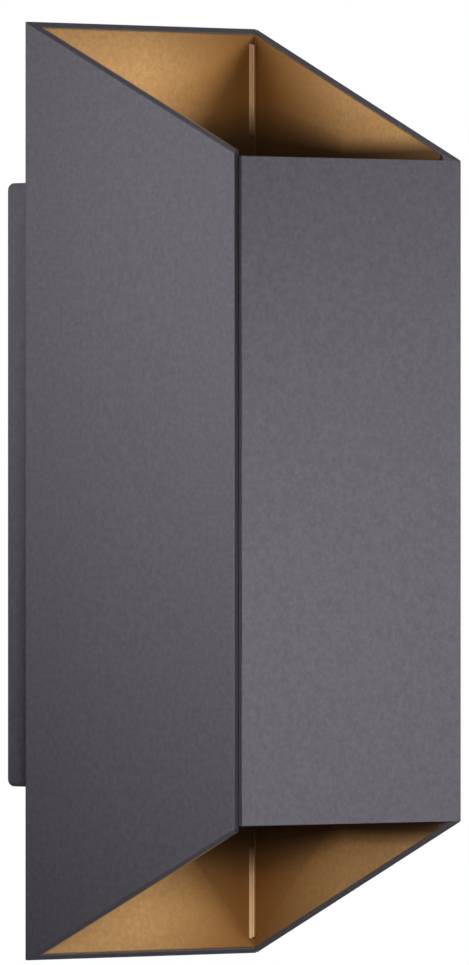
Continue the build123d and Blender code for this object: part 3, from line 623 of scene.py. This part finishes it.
def grooveTool(outer, inner, look):
    # thin upright plate along the mitre at the near corner
    inward = (inner[3] - outer[3]).normalized()
    half = look["grooveGap"] * abs(inward.x)
    clearSelection()
    middle = outer[3] + inward * (look["grooveDepth"] - mm) / 2
    bpy.ops.mesh.primitive_cube_add(size=1, location=middle, rotation=(0, 0, math.atan2(inward.y, inward.x)),
                                    scale=(look["grooveDepth"] + mm, 2 * half, 3 * body["spare"]))
    return settle("grooveTool")


def squareTools(right, depth, setback, ends=(1, -1)):
    # blocks that cut the front wall's ends square, just below its outer edge so that no sliver stays
    foot, far = body["squareTop"] - setback, body["spare"] + 20 * mm
    return [block("squareTool", (-body["backHalf"] - mm, body["front"] - mm, min(end * foot, end * far)),
                  (right, body["front"] + depth + body["squareSpare"], max(end * foot, end * far))) for end in ends]


def makeShell(name, corner, look):
    outer, inner = planCorners(0), planCorners(look["wall"])
    shell = bodyBlock(name, 0, -body["spare"], body["spare"])
    facing = 1 if corner == 0 else -1            # rear left angle, or front right angle
    pick(shell, "FACE", lambda middle, normal: facing * (normal.y - normal.x) < 0.5)
    bpy.ops.mesh.delete(type="FACE")
    done()
    modify(shell, "SOLIDIFY", thickness=look["wall"], offset=-1, use_even_offset=True)
    for end in (3, 1):
        back = (outer[corner] - outer[end]).normalized() * look["mitreGap"]
        across = (inner[end] - outer[end]).normalized()
        normal = Vector((across.y, -across.x, 0))
        if normal.dot(back) > 0:        # it has to point away from this shell
            normal.negate()
        cut(shell, outer[end] + back, normal, besideLine(outer[corner], outer[end], 1.5 * look["wall"]))
    carve(shell, [grooveTool(outer, inner, look)])
    cutSlants(shell)
    closeMesh(shell)
    if corner == 0:
        for side in (-1, 1):
            score(shell, side * look["holesReach"])      # keeps the holes' new edges away from the folds
        holes = screwTools(body["rear"], 0, look)
        carve(shell, holes + [slotTool(body["rear"], look["slotZ"] + body["drop"], look)])
    else:
        carve(shell, squareTools(inner[2].x, look["wall"], 0))
    roundEdges(shell, inPlan(outer[corner]), look["fold"][corner])
    for end, kind in ((3, "groove"), (1, "mitre")):
        mouth = outer[end] + (outer[corner] - outer[end]).normalized() * look[kind + "Gap"]
        roundEdges(shell, inPlan(mouth), look[kind + "Ease"], 2)

    def rimEdge(a, b):
        # the rims' long edges and the fold's short ones, but none in the joints
        nearFold = math.dist(((a + b) / 2).xy, outer[corner].xy) < look["nearFold"]
        return onRim(a, b) and ((a - b).length > look["longRim"] or nearFold)

    roundEdges(shell, rimEdge, look["rim"], 3)
    pick(shell, "VERT", lambda point: point.y < body["front"])      # back onto the front face
    bpy.ops.transform.resize(value=(1, 0, 1), center_override=(0, body["front"], 0))
    done()
    closeMesh(shell)
    smooth(shell)
    return lower(shell)


leftRearShell = makeShell("leftRearShell", 0, shellLook)
place(leftRearShell, "luminaire", "left_rear_shell", "anthracite_coat")
frontRightShell = makeShell("frontRightShell", 2, shellLook)
place(frontRightShell, "luminaire", "front_right_shell", "anthracite_coat")

# gold liners, each a folded sleeve with a rolled hem in the rear right corner
linerLook = {"gap": 3.15 * mm, "sheet": 0.8 * mm, "setback": 0.2 * mm, "foot": 44 * mm, "hem": 0.6 * mm,
             "hemSetback": 2.2 * mm, "hemEdge": 0.2 * mm, "fold": 0.5 * mm, "edge": 0.12 * mm}


def makeLiner(look):
    outer, inner = planCorners(look["gap"]), planCorners(look["gap"] + look["sheet"])
    liner = bodyBlock("upperLiner", look["gap"], look["foot"], body["spare"])
    pick(liner, "FACE", lambda middle, normal: abs(normal.z) > 0.5)
    bpy.ops.mesh.delete(type="FACE")
    done()
    modify(liner, "SOLIDIFY", thickness=look["sheet"], offset=-1, use_even_offset=True)
    for corner in outer:
        roundEdges(liner, inPlan(corner), look["fold"], 4)
    cutSlants(liner, look["setback"], (1,))
    carve(liner, squareTools(body["backHalf"], look["gap"] + look["sheet"], look["setback"], (1,)))
    soften(liner, look["edge"])
    spot = inner[1] + (inner[3] - inner[1]).normalized() * look["hem"]
    hem = rod("hem", (spot.x, spot.y, look["foot"]), (spot.x, spot.y, body["spare"]), look["hem"], 24)
    cutSlants(hem, look["hemSetback"], (1,))
    soften(hem, look["hemEdge"], 3, 50)
    carve(liner, [hem], "UNION")
    smooth(liner)
    return liner


upperLiner = makeLiner(linerLook)
lowerLiner = copyOf(upperLiner, "lowerLiner")
lowerLiner.scale.z = -1
closeMesh(settle("lowerLiner"))
place(lower(upperLiner), "luminaire", "upper_liner", "gold_liner")
place(lower(lowerLiner), "luminaire", "lower_liner", "gold_liner")

# base: a shallow box, open to the wall, with a ledge for its seal
baseLook = {"halfWidth": 31.7 * mm, "halfHeight": 77.5 * mm, "front": -16 * mm, "back": -0.4 * mm, "corner": 2 * mm,
            "rim": 3 * mm, "sealWidth": 2.5 * mm, "ledge": -2.4 * mm, "floor": -13 * mm, "edge": 0.3 * mm,
            "fixingHole": 2.05 * mm, "fixingY": -7.5 * mm, "earthHole": (8 * mm, 28 * mm, 2.05 * mm),
            "fixingDepth": 9 * mm, "blockHole": (4 * mm, -6 * mm, 1.15 * mm)}


def makeBase(look):
    wide, tall = look["halfWidth"], look["halfHeight"]
    base = block("lampBase", (-wide, look["front"], -tall), (wide, look["back"], tall))
    pick(base, "FACE", lambda middle, normal: normal.y > 0.9)
    bpy.ops.mesh.inset(thickness=look["rim"])
    pull(0, look["ledge"] - look["back"], 0)
    bpy.ops.mesh.inset(thickness=look["sealWidth"])
    pull(0, look["floor"] - look["ledge"], 0)
    done()
    roundEdges(base, plateCorners(wide, tall), look["corner"], 8)
    holes = screwTools(look["floor"], -body["drop"], shellLook)
    holes.append(slotTool(look["floor"], shellLook["slotZ"], shellLook))
    for x, z, radius in (look["earthHole"], look["blockHole"]):
        holes.append(rod("holeTool", (x, look["front"] - mm, z), (x, look["floor"] + mm, z), radius, 32))
    for end in (1, -1):
        top = (0, look["fixingY"], end * (tall + mm))
        bottom = (0, look["fixingY"], end * (tall - look["fixingDepth"]))
        holes.append(rod("fixingTool", top, bottom, look["fixingHole"], 32))
    carve(base, holes)
    soften(base, look["edge"])
    smooth(base)
    return base


lampBase = makeBase(baseLook)
place(lampBase, "luminaire", "base", "anthracite_coat")

# lamps: bezel, glass, lens plate and light sources, drawn at the top and copied to the bottom
lampLook = {"y": -57 * mm, "cup": 30.525 * mm, "bezelHole": 22.525 * mm, "bezelLow": 60 * mm, "bezelHigh": 62 * mm,
            "bezelFlare": 1.2 * mm, "bezelEase": 0.4 * mm, "bezelEdge": 0.12 * mm,
            "screwCircle": 28.375 * mm, "screwHole": 1.15 * mm,
            "glass": 26.025 * mm, "glassLow": 57 * mm, "glassHigh": 60 * mm, "glassEase": 0.3 * mm,
            "board": 49.1 * mm, "lensFoot": 12.025 * mm, "lensFootTop": 51.1 * mm, "lensTop": 22.025 * mm,
            "lensHigh": 55.5 * mm, "lensLip": 0.8 * mm, "lensHollow": 9.525 * mm, "lensHollowTop": 51.3 * mm,
            "lensWall": 1.5 * mm, "domeRadius": 2.9 * mm, "domeRise": 1.1 * mm, "domeSink": 0.2 * mm, "domeTurn": 0.1,
            "ring": 6.025 * mm, "source": 3 * mm, "sourceHeight": 0.8 * mm, "sourceRound": 0.25 * mm,
            "windowRim": 0.35 * mm, "windowSink": 0.15 * mm, "sourceEdge": 0.04 * mm}


def ringSpots(count, radius, first=0.0):
    turns = [math.radians(first) + 2 * math.pi * i / count for i in range(count)]
    return [(radius * math.cos(turn), radius * math.sin(turn)) for turn in turns]


def bothLamps(piece, node, slot):
    # places the upper piece, and a copy turned over for the lower lamp
    name = piece.name
    other = turnOver(copyOf(piece, name.replace("upper", "lower")), lampLook["y"])
    place(lower(piece), "luminaire", "upper_" + node, slot)
    place(lower(other), "luminaire", "lower_" + node, slot)


def makeBezel(look):
    hole, out, low, high = look["bezelHole"], look["cup"], look["bezelLow"], look["bezelHigh"]
    flare, ease = look["bezelFlare"], look["bezelEase"]
    outline = [(hole, low), (out, low), (out, high - ease), (out - ease, high),
               (hole + flare, high), (hole, high - flare)]
    bezel = turned("upperBezel", outline, (0, look["y"], 0))
    carve(bezel, [rod("holeTool", (x, look["y"] + y, low - mm), (x, look["y"] + y, high + mm), look["screwHole"], 24)
                  for x, y in ringSpots(4, look["screwCircle"], 45)])
    soften(bezel, look["bezelEdge"])
    smooth(bezel)
    return bezel


def makeGlass(look):
    out, low, high, ease = look["glass"], look["glassLow"], look["glassHigh"], look["glassEase"]
    outline = [(0, low), (out - ease, low), (out, low + ease), (out, high - ease), (out - ease, high), (0, high)]
    glass = turned("upperGlass", outline, (0, look["y"], 0))
    smooth(glass)
    return glass


def makeLens(look):
    # a flared plate with one dome over each light source
    foot, top, high, hollow = look["lensFoot"], look["lensTop"], look["lensHigh"], look["lensHollowTop"]
    outline = [(foot, look["board"]), (foot, look["lensFootTop"]), (top, high - look["lensLip"]), (top, high),
               (0, high), (0, hollow), (look["lensHollow"], hollow), (foot - look["lensWall"], look["board"])]
    lens = turned("upperLens", outline, (0, look["y"], 0))
    domes = []
    for x, y in [(0, 0)] + ringSpots(6, look["ring"]):
        clearSelection()
        bpy.ops.mesh.primitive_uv_sphere_add(
            segments=36, ring_count=18, radius=1, location=(x, look["y"] + y, high - look["domeSink"]),
            rotation=(0, 0, look["domeTurn"]), scale=(look["domeRadius"], look["domeRadius"], look["domeRise"]))
        domes.append(settle("dome"))
    carve(lens, domes, "UNION")
    smooth(lens, 40)
    return lens


def makeSources(look):
    # a square with a sunk window, once, then copied round the ring
    half, high = look["source"] / 2, look["board"] + look["sourceHeight"]
    first = block("upperSources", (-half, look["y"] - half, look["board"]), (half, look["y"] + half, high))
    roundEdges(first, lambda a, b: abs(a.z - b.z) > look["sourceHeight"] / 2, look["sourceRound"], 3)
    pick(first, "FACE", lambda middle, normal: normal.z > 0.9)
    bpy.ops.mesh.inset(thickness=look["windowRim"])
    pull(0, 0, -look["windowSink"])
    done()
    soften(first, look["sourceEdge"])
    others = []
    for x, y in ringSpots(6, look["ring"]):
        other = copyOf(first, "source")
        other.location = (x, y, 0)
        others.append(settleMoved(other))
    return joinUp(first, others)


bothLamps(makeBezel(lampLook), "bezel", "black_coat")
bothLamps(makeGlass(lampLook), "glass", "clear_glass")
bothLamps(makeLens(lampLook), "optic", "clear_acrylic")
bothLamps(makeSources(lampLook), "leds", "led_phosphor")

# fixing screws with real threads, and the washers under their heads
fixingLook = {"y": -7.5 * mm, "seat": 78.3 * mm, "headRadius": 3.6 * mm, "headHeight": 2.6 * mm,
              "headRound": 0.5 * mm, "socketRadius": 1.5 * mm, "socketDepth": 1.3 * mm, "length": 7.5 * mm,
              "radius": 2.0 * mm, "core": 1.58 * mm, "pitch": 0.7 * mm, "turns": 9, "tip": 0.5 * mm,
              "ridgeSink": 0.05 * mm, "edge": 0.06 * mm}


def makeRidge(look):
    # the thread: a small section drawn round the core, closed at both ends
    foot, half = look["core"] - look["ridgeSink"], look["pitch"] / 2
    section = [(foot, -0.9 * half), (look["radius"], -0.15 * half), (look["radius"], 0.15 * half), (foot, 0.9 * half)]
    clearSelection()
    bpy.ops.mesh.primitive_circle_add(vertices=len(section), radius=mm, fill_type="NOTHING")
    ridge = settle("ridge")
    for point, (radius, height) in zip(ridge.data.vertices, section):
        point.co = (radius, 0, height)
    modify(ridge, "SCREW", axis="Z", angle=2 * math.pi, screw_offset=look["pitch"], iterations=look["turns"],
           steps=32, render_steps=32, use_merge_vertices=False)
    edit(ridge)
    bpy.ops.mesh.select_all(action="SELECT")
    bpy.ops.mesh.fill_holes(sides=0)
    bpy.ops.mesh.normals_make_consistent(inside=False)
    done()
    ridge.location = (0, look["y"], look["seat"] - look["length"] + half + look["tip"])
    return settleMoved(ridge)


def makeFixingScrew(look):
    seat, top = look["seat"], look["seat"] + look["headHeight"]
    screw = rod("topFixingScrew", (0, look["y"], seat), (0, look["y"], top), look["headRadius"], 64)
    roundEdges(screw, lambda a, b: min(a.z, b.z) > top - hair, look["headRound"], 5)
    pick(screw, "FACE", lambda middle, normal: normal.z < -0.9)
    bpy.ops.mesh.inset(thickness=look["headRadius"] - look["core"])
    pull(0, 0, -look["length"])
    done()
    roundEdges(screw, lambda a, b: max(a.z, b.z) < seat - look["length"] + hair, look["tip"], 2)
    bottom, above = (0, look["y"], top - look["socketDepth"]), (0, look["y"], top + mm)
    carve(screw, [rod("hexTool", bottom, above, look["socketRadius"], 6)])
    soften(screw, look["edge"])
    joinUp(screw, [makeRidge(look)])
    smooth(screw, 40)
    return screw


topFixingScrew = makeFixingScrew(fixingLook)
bottomFixingScrew = turnOver(copyOf(topFixingScrew, "bottomFixingScrew"), fixingLook["y"])
place(topFixingScrew, "top_fixing_screw", "top_fixing_screw", "stainless_steel")
place(bottomFixingScrew, "bottom_fixing_screw", "bottom_fixing_screw", "stainless_steel")

washerLook = {"hole": 2.15 * mm, "radius": 4.2 * mm, "low": 77.5 * mm, "high": 78.3 * mm, "round": 0.2 * mm}


def makeWasher(look):
    hole, out, low, high, ease = (look[key] for key in ("hole", "radius", "low", "high", "round"))
    outline = [(hole, low), (out - ease, low), (out, low + ease), (out, high - ease), (out - ease, high),
               (hole + ease, high), (hole, high - ease)]
    washer = turned("topScrewWasher", outline, (0, fixingLook["y"], 0))
    smooth(washer, 50)
    return washer


topScrewWasher = makeWasher(washerLook)
bottomScrewWasher = turnOver(copyOf(topScrewWasher, "bottomScrewWasher"), fixingLook["y"])
place(topScrewWasher, "top_screw_washer", "top_screw_washer", "black_rubber")
place(bottomScrewWasher, "bottom_screw_washer", "bottom_screw_washer", "black_rubber")

# wall bracket: a plate with a tab folded forward at each end, and the cable's rubber grommet in it
bracketLook = {"halfWidth": 23.2 * mm, "halfHeight": 67.5 * mm, "sheet": 2 * mm, "corner": 3 * mm, "edge": 0.25 * mm,
               "tabHalf": 11 * mm, "tabFace": 70.5 * mm, "tabDepth": 12 * mm, "fold": 1 * mm,
               "slotX": 0.0, "slotZ": 54 * mm, "slotWidth": 5 * mm, "slotHeight": 12 * mm,
               "cableZ": -34 * mm, "cableHole": 7.5 * mm}


def alongX(y, z):
    # test for edges along X at this place in the section
    return lambda a, b: max(math.hypot(p.y - y, p.z - z) for p in (a, b)) < hair


def makeBracket(look):
    wide, tall, sheet, face = look["halfWidth"], look["halfHeight"], look["sheet"], look["tabFace"]
    bracket = block("wallBracket", (-wide, -sheet, -tall), (wide, 0, tall))
    for side in (1, -1):
        score(bracket, side * look["tabHalf"])
    for end in (1, -1):
        pick(bracket, "FACE", lambda middle, normal: end * normal.z > 0.9 and abs(middle.x) < mm)
        for step in (face - sheet - tall, sheet):
            pull(0, 0, end * step)
        done()
        pick(bracket, "FACE", lambda middle, normal: normal.y < -0.9 and end * middle.z > face - sheet)
        pull(0, sheet - look["tabDepth"], 0)
        done()
        roundEdges(bracket, alongX(0, end * face), look["fold"] + sheet, 8)
        roundEdges(bracket, alongX(-sheet, end * (face - sheet)), look["fold"], 5)
    roundEdges(bracket, plateCorners(wide, tall), look["corner"], 8)
    holes = [slotTool(0, end * look["slotZ"], look) for end in (1, -1)]
    holes.append(rod("cableTool", (0, -through, look["cableZ"]), (0, through, look["cableZ"]), look["cableHole"], 64))
    carve(bracket, holes)
    soften(bracket, look["edge"])
    closeMesh(bracket)
    smooth(bracket)
    return bracket


wallBracket = makeBracket(bracketLook)
place(wallBracket, "wall_bracket", "wall_bracket", "zinc_steel")

grommetLook = {"bore": 4.5 * mm, "neck": 7.45 * mm, "flange": 9 * mm, "thick": 1.2 * mm, "ease": 0.35 * mm}


def makeGrommet(look):
    bore, neck, flange, ease = (look[key] for key in ("bore", "neck", "flange", "ease"))
    foot, top = bracketLook["sheet"], bracketLook["sheet"] + look["thick"]
    outline = [(bore, ease), (bore + ease, 0), (neck, 0), (neck, foot), (flange, foot), (flange, top - ease),
               (flange - ease, top), (bore + ease, top), (bore, top - ease)]
    grommet = turned("cableGrommet", outline, (0, 0, bracketLook["cableZ"]), "Y")
    smooth(grommet, 50)
    return grommet


place(makeGrommet(grommetLook), "wall_bracket", "cable_grommet", "black_rubber")

# stage: floor, light and camera

stageLook = {"floorZ": -0.55, "floorHalf": 3.0, "floorColour": (0.82, 0.82, 0.81), "floorGlow": 0.85, "fill": 0.06}


def seenRay(finish):
    # 1 for rays that show the background: straight, mirrored or through glass
    kinds = [finish.add("LightPath", out=kind) for kind in ("Is Camera Ray", "Is Glossy Ray", "Is Transmission Ray")]
    return kinds[0].maths("MAXIMUM", kinds[0].maths("MAXIMUM", kinds[0], kinds[1]), kinds[2])


def makeFloor(look):
    clearSelection()
    bpy.ops.mesh.primitive_grid_add(x_subdivisions=8, y_subdivisions=8, size=2 * look["floorHalf"],
                                    location=(0, 0, look["floorZ"]))
    floor = settle("studioFloor")
    finish = Finish("studio_floor")
    cloud = finish.grain(0.4, 2.0)
    colour = finish.blend(finish.even(cloud), tone(look["floorColour"], 0.98), tone(look["floorColour"]))
    matt = finish.add("BsdfPrincipled", None, {"Base Color": colour, "Roughness": 0.8})
    pale = finish.add("Emission", None, {"Color": (1, 1, 1, 1), "Strength": 1.0})
    both = finish.add("MixShader", None, {0: look["floorGlow"] * seenRay(finish), 1: matt, 2: pale})
    finish.add("OutputMaterial", None, {"Surface": both})
    floor.data.materials.append(finish.data)


makeFloor(stageLook)

world = bpy.data.worlds.new("studio")
bpy.context.scene.world = world
studio = Finish("studio", world)
glow = stageLook["fill"] + (1 - stageLook["fill"]) * seenRay(studio)
backdrop = studio.add("Background", None, {"Color": (1, 1, 1, 1), "Strength": glow})
studio.add("OutputWorld", None, {"Surface": backdrop})

# lights: place, aim, size, spread in degrees, and power
lights = {
    "nearKey": ((-0.335, -0.51, 0.012), (0.023, -0.07, -0.057), 0.20, 42.3, 0.175),
    "frontKey": ((0.34, -0.80, 0.035), (0.074, -0.07, 0.030), 0.28, 50.4, 0.375),
    "leftKey": ((-0.638, 0.037, 0.189), (-0.10, -0.07, 0.11), 0.24, 27.9, 0.16),
    "rearKey": ((0.60, 0.55, 0.05), (0.03, 0.0, 0.0), 0.50, 60.0, 0.6),
    "topKey": ((0.0, -0.057, 0.75), (0.0, -0.057, 0.0), 0.20, 20.0, 0.005),
    "lowKey": ((0.0, -0.057, -0.53), (0.0, -0.057, 0.0), 0.20, 28.0, 0.003),
}
for name, (spot, aim, size, spread, power) in lights.items():
    lamp = bpy.data.lights.new(name, "AREA")
    lamp.shape, lamp.size, lamp.spread, lamp.energy = "DISK", size, math.radians(spread), power
    holder = bpy.data.objects.new(name, lamp)
    bpy.context.scene.collection.objects.link(holder)
    holder.location = spot
    holder.rotation_euler = (Vector(aim) - Vector(spot)).to_track_quat("-Z", "Y").to_euler()
    holder.visible_camera = False

view = {"aim": (0, -57 * mm, -1.6 * mm), "azimuth": -40.65, "distance": 3.06, "lens": 447.67,
        "aside": -2.58 * mm, "above": 2.17 * mm}
turn = math.radians(view["azimuth"])
aim = Vector(view["aim"])
spot = aim + view["distance"] * Vector((math.sin(turn), -math.cos(turn), 0))
target = aim + view["aside"] * Vector((math.cos(turn), math.sin(turn), 0)) + Vector((0, 0, view["above"]))
lens = bpy.data.cameras.new("photoView")
lens.lens, lens.sensor_width, lens.clip_end = view["lens"], 36, 100
camera = bpy.data.objects.new("photoView", lens)
bpy.context.scene.collection.objects.link(camera)
camera.location = spot
camera.rotation_euler = (target - spot).to_track_quat("-Z", "Y").to_euler()
bpy.context.scene.camera = camera
bpy.context.scene.view_settings.view_transform = "Standard"
print("stage set")
